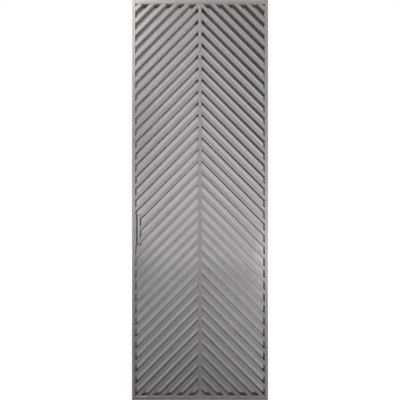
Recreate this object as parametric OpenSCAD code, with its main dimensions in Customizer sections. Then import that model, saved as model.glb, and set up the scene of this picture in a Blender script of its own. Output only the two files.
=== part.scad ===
// Aluminium sliding door leaf: a herringbone grille over mirror, alike on both faces.
// Millimetres. The front looks along -Y, +Z is up, the origin is the middle of the foot.

/* [Leaf] */
// Width over the outer edges of the stiles
leaf_w = 850; // [700:1:1000]
// Height from the foot to the head
leaf_h = 2500; // [2000:1:2700]

/* [Frame] */
// Face width of each stile
stile_w = 20.5; // [18:0.5:30]
// Face height of the top rail
top_rail_h = 26; // [25:0.5:40]
// Face height of the bottom rail
bottom_rail_h = 26; // [24:0.5:45]
// Wall thickness of the hollow profiles
wall = 2; // [1.4:0.1:2.4]
// Radius of the long outer edges
edge_r = 1; // [0.5:0.5:8]
// Chamfer of the inner edges of the stiles
stile_chamfer = 0.8; // [0.3:0.1:3]
// Chamfer of the inner edges of the rails
rail_chamfer = 2.5; // [0.3:0.1:4]
// Depth of the glazing groove
groove_depth = 10; // [8:0.5:11]

/* [Mirror] */
// Thickness of each mirror sheet
mirror_t = 3; // [3:0.5:6]
// How far a sheet reaches into the glazing groove
mirror_bite = 8; // [6:0.5:9]
// Thickness of each glazing gasket
gasket_t = 4; // [3:0.5:6]
// How far a gasket sits back from the inner edge of the frame
gasket_recess = 0.5; // [0.2:0.1:2]

/* [Grille] */
// Face width of a slanting bar
bar_w = 21; // [14:0.5:30]
// Depth of the grille, from the mirror to the face of the leaf
bar_d = 25; // [16:0.5:32]
// Chamfer of the front edges of the bars and the mullion
bar_chamfer = 1; // [0.3:0.1:3]
// Slope of the bars, in degrees from the level
bar_angle = 45; // [38:1:52]
// Upright spacing of the bars
bar_pitch = 73.75; // [60:0.25:110]
// Height at which the lowest bars, run on, cross the middle of the leaf
bar_start = 44.7; // [40:0.1:60]
// Shortest upright overlap that still makes a bar at a corner
bar_least = 6; // [4:0.5:12]
// Face width of the middle upright
mullion_w = 21; // [16:0.5:40]

/* [Pull] */
// Width of the pull
pull_w = 29; // [26:0.5:45]
// Height of the pull
pull_h = 200; // [140:1:260]
// Height of the pull's lower edge above the foot
pull_z = 964; // [850:1:1100]
// Thickness of the pull's grip wall, beside the stile
pull_grip = 6; // [4:0.5:9]
// Thickness of the pull's other walls
pull_rim = 3.5; // [2.5:0.5:6]
// Chamfer of the pull's front edges, outside and inside
pull_chamfer = 0.8; // [0.3:0.1:1.1]

/* [Fixings] */
// Bore of the two carriage bolt holes under the bottom rail
bolt_d = 9; // [6:0.5:11]
// Distance of each carriage bolt hole from the leaf's side edge
bolt_inset = 100; // [60:1:160]
// Bore of the two guide bolt holes on top of the top rail
guide_d = 7; // [5:0.5:11]
// Distance of each guide bolt hole from the leaf's side edge
guide_inset = 75; // [50:1:160]

/* [Hidden] */
// Overcut of every opening past the face that it breaks
cut = 1;
// Smallest chamfer and corner radius inside a chamber
chamfer_least = 0.2;
corner_least = 0.4;
// Depth of the leaf: two grilles and two mirror sheets
leaf_d = 2 * (mirror_t + bar_d);
// Width of the glazing groove: both sheets and their gaskets
groove_w = 2 * (mirror_t + gasket_t);
// Length of a rail between the stiles
rail_len = leaf_w - 2 * stile_w;
// Size and height of the mirror sheets
mirror_w = rail_len + 2 * mirror_bite;
mirror_z = bottom_rail_h - mirror_bite;
mirror_h = leaf_h - top_rail_h - bottom_rail_h + 2 * mirror_bite;
// Edges of one half of the opening that the bars cross, and the near edge of the pull
open_x0 = mullion_w / 2;
open_x1 = rail_len / 2;
pull_x = open_x1 - pull_w;
// Size of the finger pocket
pocket_w = pull_w - pull_rim - pull_grip;
pocket_h = pull_h - 2 * pull_rim;
open_z0 = bottom_rail_h;
open_z1 = leaf_h - top_rail_h;
// Upright thickness of a bar and its rise for each millimetre across
bar_v = bar_w / cos(bar_angle);
rise = tan(bar_angle);
// Length of an untrimmed bar
bar_reach = leaf_w / 2 / cos(bar_angle) + 3 * bar_w;
// First and last bar that enter the opening
first_bar = ceil((open_z0 + open_x0 * rise - bar_v / 2 + bar_least - bar_start) / bar_pitch);
last_bar = floor((open_z1 + open_x1 * rise + bar_v / 2 - bar_least - bar_start) / bar_pitch);
// First bar that runs whole from the mullion to the stile, and first that the top rail trims
first_full = ceil((open_z0 + open_x1 * rise + bar_v / 2 - bar_start) / bar_pitch);
first_head = floor((open_z1 + open_x0 * rise - bar_v / 2 - bar_start) / bar_pitch) + 1;
// Colours of the satin metal, the mirror and the rubber
metal = [0.60, 0.58, 0.565];
silver = [0.72, 0.74, 0.75];
rubber = [0.07, 0.07, 0.07];
$fn = 48;

// Outline of a frame profile, set in by a margin: outer edge at x = 0, its outer corners round
module profile_blank(face, margin) {
    r = max(edge_r - margin, corner_least);
    half = leaf_d / 2 - margin;
    translate([margin, 0]) {
        translate([r, -half]) square([face - 2 * margin - r, 2 * half]);
        translate([0, r - half]) square([r, 2 * (half - r)]);
        translate([r, r - half]) circle(r);
        translate([r, half - r]) circle(r);
    }
}

// Profile outline set in by a margin, with both inner corners chamfered
module profile_outline(face, margin, chamfer) {
    difference() {
        profile_blank(face, margin);
        for (side = [-1, 1]) {
            translate([face - margin, side * (leaf_d / 2 - margin)])
                rotate(45) square(chamfer * sqrt(2), center = true);
        }
    }
}

// Hollow frame profile: a glazing groove, a chamber behind each face and one behind the groove
module profile(face, chamfer) {
    side = groove_w / 2 + wall;
    difference() {
        profile_outline(face, 0, chamfer);
        translate([face - groove_depth, -groove_w / 2]) square([groove_depth + cut, groove_w]);
        translate([wall, -groove_w / 2]) square([face - groove_depth - 2 * wall, groove_w]);
        intersection() {
            profile_outline(face, wall, max(chamfer - (2 - sqrt(2)) * wall, chamfer_least));
            for (low = [-leaf_d / 2, side]) {
                translate([0, low]) square([face, leaf_d / 2 - side]);
            }
        }
    }
}

// Lays a rail profile along X with its outer edge at the foot
module lay_rail() {
    rotate([0, -90, 0]) linear_extrude(rail_len, center = true) children();
}

// Full-height stile on the left
module stile() {
    color(metal) translate([-leaf_w / 2, 0, 0]) linear_extrude(leaf_h) profile(stile_w, stile_chamfer);
}

// Rail with its outer edge at the foot and two bolt holes through its outer wall
module rail(face, hole_d, inset) {
    color(metal) difference() {
        lay_rail() profile(face, rail_chamfer);
        for (side = [-1, 1]) {
            translate([side * (leaf_w / 2 - inset), 0, -cut]) cylinder(d = hole_d, h = wall + 2 * cut);
        }
    }
}

// Rail at the head, where the two guides bolt on
module top_rail() {
    translate([0, 0, leaf_h]) mirror([0, 0, 1]) rail(top_rail_h, guide_d, guide_inset);
}

// Rail at the foot, where the two roller carriages bolt on
module bottom_rail() {
    rail(bottom_rail_h, bolt_d, bolt_inset);
}

// Front mirror sheet, its edges in the glazing groove
module mirror_sheet() {
    color(silver) translate([-mirror_w / 2, -mirror_t, mirror_z]) cube([mirror_w, mirror_t, mirror_h]);
}

// Section of a front gasket in a profile's groove, with a bulb at its open edge
module gasket_section(face) {
    r = gasket_t / 2;
    tip = face - gasket_recess - r;
    translate([0, -mirror_t - r]) {
        translate([face - mirror_bite, -r]) square([tip - face + mirror_bite, gasket_t]);
        translate([tip, 0]) circle(r);
    }
}

// Front gasket along the left stile
module side_gasket() {
    color(rubber) translate([-leaf_w / 2, 0, mirror_z]) linear_extrude(mirror_h) gasket_section(stile_w);
}

// Front gasket along the bottom rail
module bottom_gasket() {
    color(rubber) lay_rail() gasket_section(bottom_rail_h);
}

// Front gasket along the top rail
module top_gasket() {
    color(rubber) translate([0, 0, leaf_h]) mirror([0, 0, 1]) lay_rail() gasket_section(top_rail_h);
}

// Section of a grille piece: its back on the mirror, its front edges chamfered
module grille_section(w, chamfer) {
    x = w / 2;
    polygon([[-x, 0], [x, 0], [x, bar_d - chamfer], [x - chamfer, bar_d],
        [chamfer - x, bar_d], [-x, bar_d - chamfer]]);
}

// Section of a mouth that opens at 45 degrees to the face of the leaf
module mouth_section(w, chamfer) {
    x = w / 2;
    far = x + chamfer + cut;
    polygon([[-x, bar_d - chamfer], [x, bar_d - chamfer], [far, bar_d + cut], [-far, bar_d + cut]]);
}

// Stands a section up on the front mirror, its middle line on Z, from the foot up
module upright(h) {
    translate([0, -mirror_t, h]) rotate([180, 0, 0]) linear_extrude(h) children();
}

// Lays a section on the front mirror, its middle line on X, from the left on
module level(w) {
    translate([0, -mirror_t, 0]) rotate([180, -90, 0]) linear_extrude(w) children();
}

// Middle upright between the rails
module mullion() {
    color(metal) translate([0, 0, open_z0]) upright(open_z1 - open_z0) grille_section(mullion_w, bar_chamfer);
}

// Solid of the given size on the front mirror, its lower left corner at x and z
module block(x, z, w, h) {
    translate([x, -mirror_t - bar_d - cut, z]) cube([w, bar_d + 2 * cut, h]);
}

// Box-shaped body of the pull on the right half, all its front edges chamfered
module pull_body() {
    intersection() {
        translate([pull_x + pull_w / 2, 0, pull_z]) upright(pull_h) grille_section(pull_w, pull_chamfer);
        translate([pull_x, 0, pull_z + pull_h / 2]) level(pull_w) grille_section(pull_h, pull_chamfer);
    }
}

// Finger pocket of the pull, down to the mirror, with its chamfered mouth
module pull_pocket() {
    flare = pull_chamfer + cut;
    translate([pull_x + pull_rim, 0, pull_z + pull_rim]) {
        block(0, 0, pocket_w, pocket_h);
        intersection() {
            translate([pocket_w / 2, 0, -flare])
                upright(pocket_h + 2 * flare) mouth_section(pocket_w, pull_chamfer);
            translate([-flare, 0, pocket_h / 2])
                level(pocket_w + 2 * flare) mouth_section(pocket_h, pull_chamfer);
        }
    }
}

// Ring-shaped finger pull against the left stile
module pull() {
    color(metal) mirror([1, 0, 0]) difference() {
        pull_body();
        pull_pocket();
    }
}

// Height at which the middle line of a bar crosses a line at x
function bar_z(index, x) = bar_start + index * bar_pitch - x * rise;

// Whether a bar's middle line runs into the pull
function meets_pull(index) = bar_z(index, pull_x) > pull_z && bar_z(index, pull_x) < pull_z + pull_h;

// One bar of the right half, falling from the mullion to a far edge
module bar(index, far) {
    intersection() {
        translate([0, 0, bar_z(index, 0)]) rotate([0, bar_angle, 0])
            translate([-bar_w, 0, 0]) level(bar_reach) grille_section(bar_w, bar_chamfer);
        block(open_x0, open_z0, far - open_x0, open_z1 - open_z0);
    }
}

// Bars of the right half, from the mullion to the stile
module right_bars(from, to) {
    color(metal) for (index = [from:to]) bar(index, open_x1);
}

// Bars of the left half, where those that run into the pull end at it
module left_bars(from, to) {
    color(metal) mirror([1, 0, 0]) difference() {
        for (index = [from:to]) bar(index, meets_pull(index) ? pull_x : open_x1);
        block(pull_x, pull_z, pull_w, pull_h);
    }
}

stile();  // left_stile
mirror([1, 0, 0]) stile();  // right_stile
top_rail();
bottom_rail();
mirror_sheet();  // front_mirror
mirror([0, 1, 0]) mirror_sheet();  // back_mirror
side_gasket();  // front_left_gasket
mirror([1, 0, 0]) side_gasket();  // front_right_gasket
top_gasket();  // front_top_gasket
bottom_gasket();  // front_bottom_gasket
mirror([0, 1, 0]) side_gasket();  // back_left_gasket
rotate([0, 0, 180]) side_gasket();  // back_right_gasket
mirror([0, 1, 0]) top_gasket();  // back_top_gasket
mirror([0, 1, 0]) bottom_gasket();  // back_bottom_gasket
mullion();  // front_mullion
pull();  // front_pull
left_bars(first_head, last_bar);  // front_left_head_bars
left_bars(first_full, first_head - 1);  // front_left_full_bars
left_bars(first_bar, first_full - 1);  // front_left_foot_bars
right_bars(first_head, last_bar);  // front_right_head_bars
right_bars(first_full, first_head - 1);  // front_right_full_bars
right_bars(first_bar, first_full - 1);  // front_right_foot_bars
mirror([0, 1, 0]) mullion();  // back_mullion
mirror([0, 1, 0]) pull();  // back_pull
mirror([0, 1, 0]) left_bars(first_head, last_bar);  // back_left_head_bars
mirror([0, 1, 0]) left_bars(first_full, first_head - 1);  // back_left_full_bars
mirror([0, 1, 0]) left_bars(first_bar, first_full - 1);  // back_left_foot_bars
mirror([0, 1, 0]) right_bars(first_head, last_bar);  // back_right_head_bars
mirror([0, 1, 0]) right_bars(first_full, first_head - 1);  // back_right_full_bars
mirror([0, 1, 0]) right_bars(first_bar, first_full - 1);  // back_right_foot_bars
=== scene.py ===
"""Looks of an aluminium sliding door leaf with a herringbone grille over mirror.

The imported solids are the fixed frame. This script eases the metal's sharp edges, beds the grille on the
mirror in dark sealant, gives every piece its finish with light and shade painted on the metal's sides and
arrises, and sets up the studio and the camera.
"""

import logging
import math
from dataclasses import dataclass, field
from enum import Enum
from typing import Callable, Optional, Union

import bmesh
import bpy
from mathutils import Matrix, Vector


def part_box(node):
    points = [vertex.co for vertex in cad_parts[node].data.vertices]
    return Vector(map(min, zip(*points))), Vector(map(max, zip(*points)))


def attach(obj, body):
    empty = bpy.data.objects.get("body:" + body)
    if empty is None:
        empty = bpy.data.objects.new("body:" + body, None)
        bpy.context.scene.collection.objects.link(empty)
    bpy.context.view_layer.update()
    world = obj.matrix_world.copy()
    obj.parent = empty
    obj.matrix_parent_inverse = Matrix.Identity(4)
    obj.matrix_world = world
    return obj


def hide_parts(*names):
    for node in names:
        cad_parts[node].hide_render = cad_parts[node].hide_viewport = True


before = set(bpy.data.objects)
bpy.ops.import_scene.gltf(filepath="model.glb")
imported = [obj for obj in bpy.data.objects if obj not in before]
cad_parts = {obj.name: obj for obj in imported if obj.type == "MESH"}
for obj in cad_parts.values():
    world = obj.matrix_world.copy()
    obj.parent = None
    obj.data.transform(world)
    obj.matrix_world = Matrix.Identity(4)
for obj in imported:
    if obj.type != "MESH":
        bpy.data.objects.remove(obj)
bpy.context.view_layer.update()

LOG = logging.getLogger("door_leaf")
BODY = "root"

# Planes and edges of the leaf, in metres: its top and faces, the mirror's faces, the opening inside the frame
LEAF_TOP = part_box("left_stile")[1].z
FACE_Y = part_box("left_stile")[1].y
MIRROR_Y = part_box("back_mirror")[1].y
OPENING_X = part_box("top_rail")[1].x
OPENING_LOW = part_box("bottom_rail")[1].z
OPENING_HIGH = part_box("top_rail")[0].z

# Limits in metres and radians: corners that are one, faces that are one, corners that lie on the mirror
SAME_CORNER = 2e-6
FLAT_ANGLE = math.radians(0.4)
ON_MIRROR = 1e-5

# The values that noise mostly stays between, and the height of a bump in metres
NOISE_LOW = 0.3
NOISE_HIGH = 0.7
BUMP_HEIGHT = 0.0002

# Drawn grain: lumps in a metre of its streaks and clouds, along the piece and across it
STREAK_LUMPS = (12.0, 1400.0, 1400.0)
CLOUD_LUMPS = (2.2, 9.0, 9.0)

# Recess, where light and shade are painted on the sides of the grille and of the opening: how squarely a
# surface faces out where a side starts and is full, how far it looks up where ledges start and are full, the
# share of the depth that has no painted shade, and the reach past the opening in metres
SIDE_TURN = (0.85, 0.45)
LEDGE_TURN = (-0.55, 0.0)
UNSHADED_SHARE = 0.3
RECESS_MARGIN = 0.0004

# Arris, which carries a painted highlight: how squarely its middle faces out, and how far off that it starts
# and is full
ARRIS_FACING = math.cos(math.radians(45.0))
ARRIS_TURN = (0.24, 0.05)

# Marks of use: lumps in a metre of smears and dust, and the noise at which each starts and is full
SMEAR_LUMPS = 7.0
SMEAR_TURN = (0.46, 0.72)
DUST_LUMPS = 900.0
DUST_TURN = (0.68, 0.78)

# Red and blue for each part of green in the anodised metal
WARM_RED = 1.06
WARM_BLUE = 0.972

Colour = tuple[float, float, float, float]
Triple = tuple[float, float, float]
Value = Union[float, Colour, Triple, bpy.types.NodeSocket]


class Face(Enum):
    """One of the leaf's two faces, as its nodes name it."""

    FRONT = "front"
    BACK = "back"

    @property
    def outward(self) -> float:
        """Sign of Y away from the mirror on this face."""
        return -1.0 if self is Face.FRONT else 1.0


class Half(Enum):
    """One half of the grille, as its nodes name it."""

    LEFT = "left"
    RIGHT = "right"


class Grain(Enum):
    """Turn about Y, in degrees, that lays a piece's length along X."""

    UPRIGHT = 90.0
    LEVEL = 0.0
    LEFT_BARS = 45.0
    RIGHT_BARS = -45.0


class Slot(Enum):
    """Material slots of the record; each eased piece keeps one, which nothing reads."""

    FRAME = "frame_metal"
    GRILLE = "grille_metal"
    GASKET = "gasket"


def grey(level: float, red: float = 1.0, blue: float = 1.0) -> Colour:
    """Makes a grey.

    Args:
        level: Its lightness, from 0 to 1, as light and not as a screen value.
        red: Red for each part of green.
        blue: Blue for each part of green.

    Returns:
        The colour.
    """
    return (level * red, level, level * blue, 1.0)


def warm_grey(level: float) -> Colour:
    """Makes the warm grey of the anodised metal.

    Args:
        level: Its lightness, from 0 to 1, as light and not as a screen value.

    Returns:
        The colour.
    """
    return grey(level, WARM_RED, WARM_BLUE)


class Board:
    """Places, sets and joins the nodes of one node tree."""

    def __init__(self, tree: bpy.types.NodeTree) -> None:
        """Starts an empty tree: a material's, a world's or a group's."""
        self.tree = tree
        tree.nodes.clear()

    def feed(self, socket: bpy.types.NodeSocket, value: Value) -> None:
        """Joins a socket to another one, or sets it to a constant.

        Args:
            socket: The input that is fed.
            value: An output socket, or a number, vector or colour.
        """
        if isinstance(value, bpy.types.NodeSocket):
            self.tree.links.new(value, socket)
        else:
            socket.default_value = value

    def add(self, kind: str, values: dict[Union[int, str], Value], **options: object) -> bpy.types.Node:
        """Adds a node.

        Args:
            kind: Blender's type name of the node.
            values: What each named or numbered input is fed with.
            **options: Settings of the node itself.

        Returns:
            The new node.
        """
        node = self.tree.nodes.new(kind)
        for name, option in options.items():
            setattr(node, name, option)
        for key, value in values.items():
            self.feed(node.inputs[key], value)
        return node

    def math(self, operation: str, first: Value, second: Value = 0.0) -> bpy.types.NodeSocket:
        """Works out one number from two, or from the first alone, by Blender's name of the operation."""
        return self.add("ShaderNodeMath", {0: first, 1: second}, operation=operation).outputs[0]

    def ramp(self, value: Value, start: float, end: float, low: float = 0.0,
             high: float = 1.0) -> bpy.types.NodeSocket:
        """Maps a number smoothly from start and end to low and high, and holds it beyond them."""
        values = {0: value, 1: start, 2: end, 3: low, 4: high}
        return self.add("ShaderNodeMapRange", values, interpolation_type="SMOOTHSTEP").outputs[0]

    def swing(self, noise: Value, middle: float, reach: float) -> bpy.types.NodeSocket:
        """Turns noise into a value that swings about a middle one, as far as its reach each way."""
        return self.ramp(noise, NOISE_LOW, NOISE_HIGH, middle - reach, middle + reach)

    def mix(self, share: Value, first: Value, second: Value, blend: str = "MIX") -> bpy.types.NodeSocket:
        """Mixes two colours by the second one's share, in the way that Blender names."""
        node = self.add("ShaderNodeMix", {0: share, 6: first, 7: second}, data_type="RGBA", blend_type=blend)
        return node.outputs[2]

    def stretch(self, vector: Value, factors: Triple) -> bpy.types.NodeSocket:
        """Scales a vector by a factor for each axis."""
        return self.add("ShaderNodeVectorMath", {0: vector, 1: factors}, operation="MULTIPLY").outputs[0]

    def noise(self, vector: Value, scale: float, detail: float = 2.0) -> bpy.types.NodeSocket:
        """Samples noise with so many lumps in a unit of length, and with finer octaves as its detail."""
        return self.add("ShaderNodeTexNoise", {"Vector": vector, "Scale": scale, "Detail": detail}).outputs[0]

    def split(self, vector: Value) -> tuple[bpy.types.NodeSocket, ...]:
        """Splits a vector into its three numbers."""
        return tuple(self.add("ShaderNodeSeparateXYZ", {0: vector}).outputs)

    def place(self) -> bpy.types.NodeSocket:
        """Gives the place on the piece, in metres."""
        return self.add("ShaderNodeTexCoord", {}).outputs["Object"]

    def facing(self) -> bpy.types.NodeSocket:
        """Gives the direction that the surface faces."""
        return self.add("ShaderNodeNewGeometry", {}).outputs["Normal"]

    def ray_kind(self, *names: str) -> bpy.types.NodeSocket:
        """Tells whether a ray is of a named kind.

        Args:
            *names: Outputs of the light path.

        Returns:
            A socket that is one for such a ray, or else zero.
        """
        path = self.add("ShaderNodeLightPath", {}).outputs
        share = path[names[0]]
        for name in names[1:]:
            share = self.math("MAXIMUM", share, path[name])
        return share


@dataclass(frozen=True)
class Effect:
    """A surface effect that several finishes share, kept as one node group."""

    name: str
    inputs: tuple[str, ...]
    outputs: tuple[str, ...]
    wire: Callable[[Board, bpy.types.Node], dict[str, bpy.types.NodeSocket]]

    def group(self) -> bpy.types.NodeTree:
        """Builds the node group the first time that it is asked for.

        Returns:
            The node group.
        """
        tree = bpy.data.node_groups.get(self.name)
        if tree is not None:
            return tree
        tree = bpy.data.node_groups.new(self.name, "ShaderNodeTree")
        for name in self.inputs:
            tree.interface.new_socket(name=name, in_out="INPUT", socket_type="NodeSocketVector")
        for name in self.outputs:
            tree.interface.new_socket(name=name, in_out="OUTPUT", socket_type="NodeSocketFloat")
        board = Board(tree)
        start = board.add("NodeGroupInput", {})
        board.add("NodeGroupOutput", self.wire(board, start))
        return tree

    def put(self, board: Board, **vectors: bpy.types.NodeSocket) -> bpy.types.bpy_prop_collection:
        """Places the effect in a material, joins its inputs and gives its outputs."""
        return board.add("ShaderNodeGroup", dict(vectors), node_tree=self.group()).outputs


def wire_grain(board: Board, start: bpy.types.Node) -> dict[str, bpy.types.NodeSocket]:
    """Wires the drawn grain: long fine streaks along X, and slow clouds of tone.

    Args:
        board: The group's board.
        start: The group's input node.

    Returns:
        What the group puts out.
    """
    place = start.outputs["Place"]
    streak = board.noise(board.stretch(place, STREAK_LUMPS), 1.0, detail=3.0)
    cloud = board.noise(board.stretch(place, CLOUD_LUMPS), 1.0)
    return {"Streak": streak, "Cloud": cloud}


def wire_recess(board: Board, start: bpy.types.Node) -> dict[str, bpy.types.NodeSocket]:
    """Wires the recess, the masks where light and shade are painted: sides of the grille and of the frame's
    opening, their depth towards the mirror, and the ledges that look up.

    Args:
        board: The group's board.
        start: The group's input node.

    Returns:
        What the group puts out.
    """
    x, y, z = (board.math("ABSOLUTE", part) for part in board.split(start.outputs["Place"]))
    facing = board.split(start.outputs["Facing"])
    side = board.ramp(board.math("ABSOLUTE", facing[1]), *SIDE_TURN)
    ledge = board.ramp(facing[2], *LEDGE_TURN)
    across = board.math("LESS_THAN", x, OPENING_X + RECESS_MARGIN)
    above = board.math("GREATER_THAN", z, OPENING_LOW - RECESS_MARGIN)
    below = board.math("LESS_THAN", z, OPENING_HIGH + RECESS_MARGIN)
    within = board.math("MULTIPLY", across, board.math("MULTIPLY", above, below))
    depth = board.ramp(y, FACE_Y + UNSHADED_SHARE * (MIRROR_Y - FACE_Y), MIRROR_Y)
    side = board.math("MULTIPLY", side, within)
    return {"Side": side, "Depth": board.math("MULTIPLY", side, depth), "Ledge": ledge}


def wire_arris(board: Board, start: bpy.types.Node) -> dict[str, bpy.types.NodeSocket]:
    """Wires the arris, which carries a painted highlight, on the rails a faint painted shade: one where the
    surface turns from a face of the leaf to a side.

    Args:
        board: The group's board.
        start: The group's input node.

    Returns:
        What the group puts out.
    """
    slant = board.math("ABSOLUTE", board.split(start.outputs["Facing"])[1])
    off = board.math("ABSOLUTE", board.math("SUBTRACT", slant, ARRIS_FACING))
    return {"Arris": board.ramp(off, *ARRIS_TURN)}


def wire_handling(board: Board, start: bpy.types.Node) -> dict[str, bpy.types.NodeSocket]:
    """Wires the marks of use: soft smears, and specks of dust.

    Args:
        board: The group's board.
        start: The group's input node.

    Returns:
        What the group puts out.
    """
    place = start.outputs["Place"]
    smear = board.ramp(board.noise(place, SMEAR_LUMPS, detail=4.0), *SMEAR_TURN)
    dust = board.ramp(board.noise(place, DUST_LUMPS, detail=1.0), *DUST_TURN)
    return {"Smear": smear, "Dust": dust}


DRAWN_GRAIN = Effect("drawn_grain", ("Place",), ("Streak", "Cloud"), wire_grain)
RECESS = Effect("recess", ("Place", "Facing"), ("Side", "Depth", "Ledge"), wire_recess)
ARRIS = Effect("arris", ("Facing",), ("Arris",), wire_arris)
HANDLING = Effect("handling", ("Place",), ("Smear", "Dust"), wire_handling)


def open_material(name: str) -> tuple[Board, bpy.types.Material]:
    """Starts an empty node material.

    Args:
        name: The material's name.

    Returns:
        Its board and the material.
    """
    material = bpy.data.materials.new(name)
    material.use_nodes = True
    return Board(material.node_tree), material


def close_material(board: Board, shader: bpy.types.NodeSocket) -> None:
    """Joins a shader to the material's output.

    Args:
        board: The material's board.
        shader: The shader's socket.
    """
    board.add("ShaderNodeOutputMaterial", {"Surface": shader})


@dataclass(frozen=True)
class SatinMetal:
    """Warm grey anodised aluminium, drawn along the piece, with light and shade painted on its sides and
    arrises.

    Its sides that look down take a lighter painted tone than the ledges that look up, which carry painted
    shade;
    painted shade darkens both towards the mirror. The arrises carry a painted highlight, on the rails a faint
    painted shade. Its tones, from side to arris, are lightnesses of the warm grey.
    """

    name: str
    side: float
    deep_shade: float
    ledge: float
    deep_ledge_shade: float
    face: float = 0.33
    arris: float = 0.34
    arris_share: float = 0.5
    streak_swing: float = 0.05
    cloud_swing: float = 0.03
    roughness: float = 0.27
    rough_swing: float = 0.04
    smear_rough: float = 0.04
    side_rough: float = 0.2
    side_metal: float = 0.4
    side_gloss: float = 0.5
    relief: float = 0.06

    def tone(self, board: Board, facing: Value, drawn: bpy.types.bpy_prop_collection,
             recess: bpy.types.bpy_prop_collection) -> bpy.types.NodeSocket:
        """Wires the metal's colour, with its painted light and shade.

        Args:
            board: The material's board.
            facing: The direction that the surface faces.
            drawn: Outputs of the drawn grain.
            recess: Outputs of the recess.

        Returns:
            The colour's socket.
        """
        # Painted highlight on the arrises, a faint painted shade where the arris tone is below the face's
        arris = board.math("MULTIPLY", ARRIS.put(board, Facing=facing)["Arris"], self.arris_share)
        tone = board.mix(arris, warm_grey(self.face), warm_grey(self.arris))
        # Painted light and shade: sides that look down take the side tone, ledges that look up a darker
        # painted shade, and both darken towards the mirror as painted shade
        for mask, under, upper in (("Side", self.side, self.ledge), ("Depth", self.deep_shade, self.deep_ledge_shade)):
            shade = board.mix(recess["Ledge"], warm_grey(under), warm_grey(upper))
            tone = board.mix(recess[mask], tone, shade)
        streaks = board.swing(drawn["Streak"], 1.0, self.streak_swing)
        clouds = board.swing(drawn["Cloud"], 1.0, self.cloud_swing)
        return board.mix(1.0, tone, board.math("MULTIPLY", streaks, clouds), "MULTIPLY")

    def material(self, grain: Grain) -> bpy.types.Material:
        """Builds the finish for pieces that run one way.

        Args:
            grain: The way that the pieces run.

        Returns:
            The material.
        """
        board, material = open_material(f"{self.name}_{grain.name.lower()}")
        place, facing = board.place(), board.facing()
        turn = (0.0, math.radians(grain.value), 0.0)
        along = board.add("ShaderNodeMapping", {"Vector": place, "Rotation": turn}).outputs[0]
        drawn = DRAWN_GRAIN.put(board, Place=along)
        recess = RECESS.put(board, Place=place, Facing=facing)
        smear = HANDLING.put(board, Place=place)["Smear"]
        rough = board.swing(drawn["Streak"], self.roughness, self.rough_swing)
        rough = board.math("ADD", rough, board.math("MULTIPLY", smear, self.smear_rough))
        rough = board.math("ADD", rough, board.math("MULTIPLY", recess["Side"], self.side_rough))
        bump = board.add("ShaderNodeBump", {
            "Strength": self.relief, "Distance": BUMP_HEIGHT, "Height": drawn["Streak"]})
        shader = board.add("ShaderNodeBsdfPrincipled", {
            "Base Color": self.tone(board, facing, drawn, recess),
            "Metallic": board.ramp(recess["Side"], 0.0, 1.0, 1.0, self.side_metal),
            "Roughness": rough, "Normal": bump.outputs[0], "Specular IOR Level": self.side_gloss})
        close_material(board, shader.outputs[0])
        return material


@dataclass(frozen=True)
class MirrorSilver:
    """Lightly grey mirror with a thin haze and faint smears."""

    name: str
    silver: Colour
    dulled: Colour
    clarity: float = 0.8
    roughness: float = 0.012
    smear_share: float = 0.4
    smear_rough: float = 0.02

    def material(self) -> bpy.types.Material:
        """Builds the finish.

        Returns:
            The material.
        """
        board, material = open_material(self.name)
        smear = HANDLING.put(board, Place=board.place())["Smear"]
        tone = board.mix(board.math("MULTIPLY", smear, self.smear_share), self.silver, self.dulled)
        rough = board.math("ADD", board.math("MULTIPLY", smear, self.smear_rough), self.roughness)
        shader = board.add("ShaderNodeBsdfPrincipled", {
            "Base Color": tone, "Metallic": self.clarity, "Roughness": rough})
        close_material(board, shader.outputs[0])
        return material


@dataclass(frozen=True)
class DarkRubber:
    """Black rubber or sealant with a fine matt skin and a little dust."""

    name: str
    body: Colour
    dusty: Colour
    roughness: float
    rough_swing: float = 0.1
    smear_share: float = 0.35
    skin_lumps: float = 2600.0
    relief: float = 0.3

    def material(self) -> bpy.types.Material:
        """Builds the finish.

        Returns:
            The material.
        """
        board, material = open_material(self.name)
        place = board.place()
        marks = HANDLING.put(board, Place=place)
        skin = board.noise(place, self.skin_lumps)
        smear = board.math("MULTIPLY", marks["Smear"], self.smear_share)
        tone = board.mix(board.math("MAXIMUM", smear, marks["Dust"]), self.body, self.dusty)
        rough = board.swing(skin, self.roughness, self.rough_swing)
        bump = board.add("ShaderNodeBump", {"Strength": self.relief, "Distance": BUMP_HEIGHT, "Height": skin})
        shader = board.add("ShaderNodeBsdfPrincipled", {
            "Base Color": tone, "Roughness": rough, "Normal": bump.outputs[0]})
        close_material(board, shader.outputs[0])
        return material


# Side, depth and ledge tones are painted light and shade in the recesses of frame, grille and pull; the arris
# tone is a painted highlight, darker than the face on the rails as a faint painted shade
STILE_METAL = SatinMetal("stile_satin", side=0.50, deep_shade=0.12, ledge=0.15, deep_ledge_shade=0.05)
RAIL_METAL = SatinMetal("rail_satin", side=0.50, deep_shade=0.12, ledge=0.11, deep_ledge_shade=0.07, arris=0.31)
GRILLE_METAL = SatinMetal("grille_satin", side=0.36, deep_shade=0.035, ledge=0.125, deep_ledge_shade=0.02)
PULL_METAL = SatinMetal("pull_satin", side=0.20, deep_shade=0.03, ledge=0.05, deep_ledge_shade=0.01, side_gloss=0.1)
MIRROR = MirrorSilver("grey_mirror", silver=grey(0.53, red=1.035, blue=1.005), dulled=grey(0.49, red=1.035))
GASKET = DarkRubber("gasket_rubber", body=grey(0.012), dusty=warm_grey(0.05), roughness=0.62)
SEALANT = DarkRubber("bedding_sealant", body=grey(0.03), dusty=warm_grey(0.06), roughness=0.5)


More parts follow.
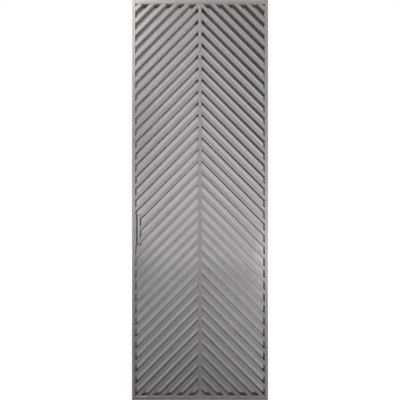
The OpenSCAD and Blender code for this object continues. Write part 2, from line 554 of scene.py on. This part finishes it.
def merged_copy(node: str) -> bmesh.types.BMesh:
    """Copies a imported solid's mesh with its loose triangles joined into whole faces.

    Args:
        node: The solid's name.

    Returns:
        The joined mesh.
    """
    work = bmesh.new()
    work.from_mesh(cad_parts[node].data)
    bmesh.ops.remove_doubles(work, verts=work.verts, dist=SAME_CORNER)
    bmesh.ops.dissolve_limit(work, angle_limit=FLAT_ANGLE, verts=work.verts, edges=work.edges)
    return work


def new_piece(work: bmesh.types.BMesh, name: str) -> bpy.types.Object:
    """Makes a piece of the leaf from a finished mesh, at the origin.

    Args:
        work: The mesh, which is used up.
        name: The piece's name.

    Returns:
        The piece.
    """
    mesh = bpy.data.meshes.new(name)
    work.to_mesh(mesh)
    work.free()
    piece = bpy.data.objects.new(name, mesh)
    bpy.context.scene.collection.objects.link(piece)
    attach(piece, BODY)
    return piece


def put_on(piece: bpy.types.Object, material: bpy.types.Material) -> None:
    """Gives a piece one material all over.

    Args:
        piece: The piece.
        material: The material.
    """
    piece.data.materials.clear()
    piece.data.materials.append(material)


@dataclass
class EasedMetal:
    """A metal piece of the leaf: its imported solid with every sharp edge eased."""

    node: str
    slot: Slot
    ease: float = 0.0003
    sharp: float = math.radians(24.0)
    smooth_to: float = math.radians(50.0)

    def build(self) -> bpy.types.Object:
        """Eases the solid's edges and puts the piece in the solid's place.

        Returns:
            The piece.
        """
        work = merged_copy(self.node)
        edges = [edge for edge in work.edges if edge.is_manifold and edge.calc_face_angle() > self.sharp]
        bmesh.ops.bevel(work, geom=edges, offset=self.ease, offset_type="OFFSET", segments=2, profile=0.5,
                        affect="EDGES", clamp_overlap=True, material=-1)
        piece = new_piece(work, f"{self.node}_eased")
        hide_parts(self.node)
        piece.data.shade_smooth()
        piece.data.set_sharp_from_angle(angle=self.smooth_to)
        normals = piece.modifiers.new("flat_faces", "WEIGHTED_NORMAL")
        normals.keep_sharp = True
        return piece


@dataclass
class Bedding:
    """Dark sealant that squeezes out all round a grille piece where it sits on the mirror."""

    node: str
    face: Face
    spread: float = 0.0006
    rise: float = 0.0006
    lip: float = 0.0001
    wall_tilt: float = 0.5

    def build(self) -> bpy.types.Object:
        """Raises a low bead from the outline of the grille piece's back.

        Returns:
            The bead.
        """
        work = merged_copy(self.node)
        raised = [face for face in work.faces
                  if any(abs(abs(corner.co.y) - MIRROR_Y) > ON_MIRROR for corner in face.verts)]
        bmesh.ops.delete(work, geom=raised, context="FACES")
        made = bmesh.ops.extrude_face_region(work, geom=work.faces[:])["geom"]
        crown = [item for item in made if isinstance(item, bmesh.types.BMVert)]
        bmesh.ops.translate(work, verts=crown, vec=Vector((0.0, self.face.outward * self.rise, 0.0)))
        bmesh.ops.recalc_face_normals(work, faces=work.faces)
        self.flare(work, set(crown))
        return new_piece(work, f"{self.node}_bedding")

    def flare(self, work: bmesh.types.BMesh, crown: set[bmesh.types.BMVert]) -> None:
        """Moves the bead's outline outwards, its foot further than its crown.

        Args:
            work: The bead's mesh.
            crown: Its corners away from the mirror.
        """
        shifts = {}
        for corner in work.verts:
            walls = [face.normal for face in corner.link_faces if abs(face.normal.y) < self.wall_tilt]
            if len(walls) == 2:
                reach = self.lip if corner in crown else self.spread
                shifts[corner] = (walls[0] + walls[1]) * (reach / (1.0 + walls[0].dot(walls[1])))
        for corner, shift in shifts.items():
            corner.co += shift


@dataclass
class FrameSet:
    """The leaf's frame: two stiles and two rails."""

    runs: dict[str, Grain] = field(default_factory=lambda: {
        "left_stile": Grain.UPRIGHT, "right_stile": Grain.UPRIGHT,
        "top_rail": Grain.LEVEL, "bottom_rail": Grain.LEVEL})
    pieces: dict[Grain, list[bpy.types.Object]] = field(default_factory=dict)

    def build(self) -> None:
        """Eases the four profiles."""
        for node, grain in self.runs.items():
            piece = EasedMetal(node, Slot.FRAME).build()
            self.pieces.setdefault(grain, []).append(piece)
            LOG.info("%s: %d faces", piece.name, len(piece.data.polygons))

    def dress(self) -> None:
        """Finishes the profiles, each drawn along its length."""
        for grain, finish in ((Grain.UPRIGHT, STILE_METAL), (Grain.LEVEL, RAIL_METAL)):
            material = finish.material(grain)
            for piece in self.pieces[grain]:
                put_on(piece, material)


@dataclass
class Glazing:
    """One mirror sheet with the four gaskets that hold it."""

    face: Face
    sides: tuple[str, ...] = ("left", "right", "top", "bottom")

    def dress(self, mirror: bpy.types.Material, rubber: bpy.types.Material) -> None:
        """Finishes the sheet and its gaskets.

        Args:
            mirror: The sheet's material.
            rubber: The gaskets' material.
        """
        put_on(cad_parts[f"{self.face.value}_mirror"], mirror)
        for side in self.sides:
            put_on(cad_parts[f"{self.face.value}_{side}_gasket"], rubber)
        LOG.info("%s glazing: mirror and %d gaskets", self.face.value, len(self.sides))


@dataclass
class Grille:
    """The grille of one face: mullion and slanting bars, bedded on the mirror."""

    face: Face
    groups: tuple[str, ...] = ("head", "full", "foot")
    metal: dict[Grain, list[bpy.types.Object]] = field(default_factory=dict)
    beads: list[bpy.types.Object] = field(default_factory=list)

    def runs(self) -> dict[str, Grain]:
        """Lists the grille's solids and the way that each runs.

        Returns:
            The way for each solid's name.
        """
        name = self.face.value
        listed = {f"{name}_mullion": Grain.UPRIGHT}
        for half, grain in ((Half.LEFT, Grain.LEFT_BARS), (Half.RIGHT, Grain.RIGHT_BARS)):
            listed.update({f"{name}_{half.value}_{group}_bars": grain for group in self.groups})
        return listed

    def build(self) -> None:
        """Eases the metal and raises its bedding."""
        for node, grain in self.runs().items():
            piece = EasedMetal(node, Slot.GRILLE).build()
            bead = Bedding(node, self.face).build()
            self.metal.setdefault(grain, []).append(piece)
            self.beads.append(bead)
            LOG.info("%s: %d faces, bead %d", piece.name, len(piece.data.polygons), len(bead.data.polygons))

    def dress(self, metal: dict[Grain, bpy.types.Material], sealant: bpy.types.Material) -> None:
        """Finishes the metal, each piece drawn along its length, and the bedding.

        Args:
            metal: The metal for each way that the pieces run.
            sealant: The bedding's material.
        """
        for grain, pieces in self.metal.items():
            for piece in pieces:
                put_on(piece, metal[grain])
        for bead in self.beads:
            put_on(bead, sealant)


@dataclass
class FingerPull:
    """The ring-shaped finger pull of one face, bedded on the mirror."""

    face: Face
    ring: Optional[bpy.types.Object] = None
    bead: Optional[bpy.types.Object] = None

    def build(self) -> None:
        """Eases the ring and raises its bedding."""
        node = f"{self.face.value}_pull"
        self.ring = EasedMetal(node, Slot.GRILLE).build()
        self.bead = Bedding(node, self.face).build()
        LOG.info("%s: %d faces, bead %d", self.ring.name, len(self.ring.data.polygons),
                 len(self.bead.data.polygons))

    def dress(self, metal: bpy.types.Material, sealant: bpy.types.Material) -> None:
        """Finishes the ring in metal and its bedding in sealant."""
        put_on(self.ring, metal)
        put_on(self.bead, sealant)


@dataclass(frozen=True)
class SoftPatch:
    """A soft patch of light, or of shade below zero, that metal and mirror show on both sides of the leaf.

    Its angles are in degrees: where its middle is to the right and up, how wide it is even and where it ends.
    """

    azimuth: float
    elevation: float
    inner: float
    outer: float
    strength: float

    def wire(self, board: Board, x: Value, y: Value, z: Value) -> bpy.types.NodeSocket:
        """Wires the patch.

        Args:
            board: The world's board.
            x: Direction's part to the right.
            y: Direction's part away from the leaf.
            z: Direction's part upwards.

        Returns:
            The light that the patch adds or takes.
        """
        level, up = math.radians(self.azimuth), math.radians(self.elevation)
        aim = (math.sin(level) * math.cos(up), math.cos(level) * math.cos(up), math.sin(up))
        ray = board.add("ShaderNodeCombineXYZ", {0: x, 1: board.math("ABSOLUTE", y), 2: z}).outputs[0]
        near = board.add("ShaderNodeVectorMath", {0: ray, 1: aim}, operation="DOT_PRODUCT").outputs[1]
        edge, full = math.cos(math.radians(self.outer)), math.cos(math.radians(self.inner))
        return board.ramp(near, edge, full, 0.0, self.strength)


@dataclass
class Studio:
    """A pale floor, soft lamps, and a white surround that metal and mirror show too.

    In metal and mirror the floor fades from floor_near to floor_far, and to the camera it whitens from
    white_near to white_far.
    """

    floor_half: float = 9.0
    floor_drop: float = 0.0004
    floor_tone: Colour = (0.68, 0.68, 0.68, 1.0)
    floor_lumps: float = 3.0
    floor_swing: float = 0.03
    floor_near: float = 0.2
    floor_far: float = 8.0
    floor_white: float = 1.33
    white_near: float = 0.3
    white_far: float = 4.0
    white_share: float = 0.6
    ambient: float = 0.54
    seen: float = 0.80
    patches: tuple[SoftPatch, ...] = (
        SoftPatch(azimuth=-41.0, elevation=38.0, inner=10.0, outer=26.0, strength=4.7),
        SoftPatch(azimuth=-25.0, elevation=1.0, inner=5.0, outer=15.0, strength=1.35),
        SoftPatch(azimuth=32.0, elevation=-11.0, inner=8.0, outer=23.0, strength=2.9),
        SoftPatch(azimuth=4.0, elevation=16.0, inner=6.0, outer=22.0, strength=0.12),
        SoftPatch(azimuth=-24.0, elevation=17.0, inner=5.0, outer=18.0, strength=-0.4),
        SoftPatch(azimuth=-24.0, elevation=-12.0, inner=5.0, outer=18.0, strength=-0.55),
    )
    lamp_right: float = 1.4
    lamp_out: float = 2.4
    lamp_up: float = 3.0
    lamp_size: float = 2.2
    lamp_power: float = 40.0
    lamp_aim: Triple = (0.0, 0.0, 1.2)

    def build_world(self) -> None:
        """Sets up the surround: white to the camera, and softly graded in metal and mirror."""
        world = bpy.data.worlds.new("studio")
        bpy.context.scene.world = world
        world.use_nodes = True
        board = Board(world.node_tree)
        ray = board.add("ShaderNodeTexCoord", {}).outputs["Generated"]
        x, y, z = board.split(ray)
        light: Value = self.seen
        for patch in self.patches:
            light = board.math("ADD", patch.wire(board, x, y, z), light)
        plain = board.add("ShaderNodeBackground", {0: grey(1.0), 1: self.ambient}).outputs[0]
        graded = board.add("ShaderNodeBackground", {0: grey(1.0), 1: light}).outputs[0]
        white = board.add("ShaderNodeBackground", {0: grey(1.0), 1: 1.0}).outputs[0]
        shiny = board.ray_kind("Is Glossy Ray", "Is Transmission Ray")
        direct = board.ray_kind("Is Camera Ray")
        surround = board.add("ShaderNodeMixShader", {0: shiny, 1: plain, 2: graded}).outputs[0]
        surround = board.add("ShaderNodeMixShader", {0: direct, 1: surround, 2: white}).outputs[0]
        board.add("ShaderNodeOutputWorld", {0: surround})

    def floor_material(self) -> bpy.types.Material:
        """Builds the floor's look: pale near the leaf, and lost in the white surround far off.

        Returns:
            The material.
        """
        board, material = open_material("pale_floor")
        place = board.place()
        x, y, _ = board.split(place)
        square = board.math("ADD", board.math("MULTIPLY", x, x), board.math("MULTIPLY", y, y))
        off = board.math("SQRT", square)
        cloud = board.swing(board.noise(place, self.floor_lumps), 1.0, self.floor_swing)
        tone = board.mix(1.0, self.floor_tone, cloud, "MULTIPLY")
        matt = board.add("ShaderNodeBsdfDiffuse", {0: tone}).outputs[0]
        bright = board.add("ShaderNodeEmission", {0: grey(1.0), 1: self.floor_white}).outputs[0]
        lost = board.add("ShaderNodeBsdfTransparent", {}).outputs[0]
        white = board.ramp(off, self.white_near, self.white_far, self.white_share, 1.0)
        direct = board.math("MULTIPLY", board.ray_kind("Is Camera Ray"), white)
        shiny = board.ray_kind("Is Glossy Ray", "Is Transmission Ray")
        far = board.math("MULTIPLY", shiny, board.ramp(off, self.floor_near, self.floor_far))
        shader = board.add("ShaderNodeMixShader", {0: far, 1: matt, 2: lost}).outputs[0]
        shader = board.add("ShaderNodeMixShader", {0: direct, 1: shader, 2: bright}).outputs[0]
        close_material(board, shader)
        return material

    def build_floor(self) -> None:
        """Lays the floor a hair below the leaf's foot, where it shows the leaf's shadow."""
        work = bmesh.new()
        bmesh.ops.create_grid(work, x_segments=2, y_segments=2, size=self.floor_half)
        bmesh.ops.translate(work, verts=work.verts, vec=Vector((0.0, 0.0, -self.floor_drop)))
        mesh = bpy.data.meshes.new("studio_floor")
        work.to_mesh(mesh)
        work.free()
        floor = bpy.data.objects.new("studio_floor", mesh)
        bpy.context.scene.collection.objects.link(floor)
        put_on(floor, self.floor_material())

    def build_lamp(self, face: Face) -> None:
        """Hangs a soft lamp, which metal and mirror don't show, before one face of the leaf.

        Args:
            face: The face that it lights.
        """
        name = f"{face.value}_lamp"
        data = bpy.data.lights.new(name, "AREA")
        data.shape = "SQUARE"
        data.size = self.lamp_size
        data.energy = self.lamp_power
        lamp = bpy.data.objects.new(name, data)
        bpy.context.scene.collection.objects.link(lamp)
        place = Vector((self.lamp_right, face.outward * self.lamp_out, self.lamp_up))
        lamp.location = place
        lamp.rotation_euler = (Vector(self.lamp_aim) - place).to_track_quat("-Z", "Y").to_euler()
        lamp.visible_camera = False
        lamp.visible_glossy = False

    def build(self) -> None:
        """Sets up the whole studio."""
        self.build_world()
        self.build_floor()
        for face in Face:
            self.build_lamp(face)
        LOG.info("studio: floor, surround with %d patches, two lamps", len(self.patches))


@dataclass
class LevelCamera:
    """A level camera in front of the middle of the leaf that takes in its height but for a trim."""

    eye_z: float = 1.13
    distance: float = 1.87
    trim: float = 0.0025
    sensor: float = 36.0

    def build(self) -> None:
        """Sets the camera up and makes it the scene's."""
        seen_height = LEAF_TOP - self.trim
        data = bpy.data.cameras.new("level_camera")
        data.sensor_fit = "HORIZONTAL"
        data.sensor_width = self.sensor
        data.lens = self.sensor * self.distance / seen_height
        data.shift_y = (0.5 * LEAF_TOP - self.eye_z) / seen_height
        camera = bpy.data.objects.new("level_camera", data)
        bpy.context.scene.collection.objects.link(camera)
        camera.location = (0.0, -FACE_Y - self.distance, self.eye_z)
        camera.rotation_euler = (math.radians(90.0), 0.0, 0.0)
        bpy.context.scene.camera = camera
        LOG.info("camera: %.1f mm lens, %.2f m away", data.lens, self.distance)


def main() -> None:
    """Builds and dresses the leaf, then sets up the studio and the camera."""
    logging.basicConfig(level=logging.INFO, format="%(message)s")
    bpy.context.scene.view_settings.view_transform = "Standard"
    profiles = FrameSet()
    profiles.build()
    profiles.dress()
    mirror, rubber, sealant = MIRROR.material(), GASKET.material(), SEALANT.material()
    bars = {grain: GRILLE_METAL.material(grain) for grain in Grain if grain is not Grain.LEVEL}
    ring = PULL_METAL.material(Grain.UPRIGHT)
    for face in Face:
        Glazing(face).dress(mirror, rubber)
        grille = Grille(face)
        grille.build()
        grille.dress(bars, sealant)
        pull = FingerPull(face)
        pull.build()
        pull.dress(ring, sealant)
    Studio().build()
    LevelCamera().build()


if __name__ == "__main__":
    main()
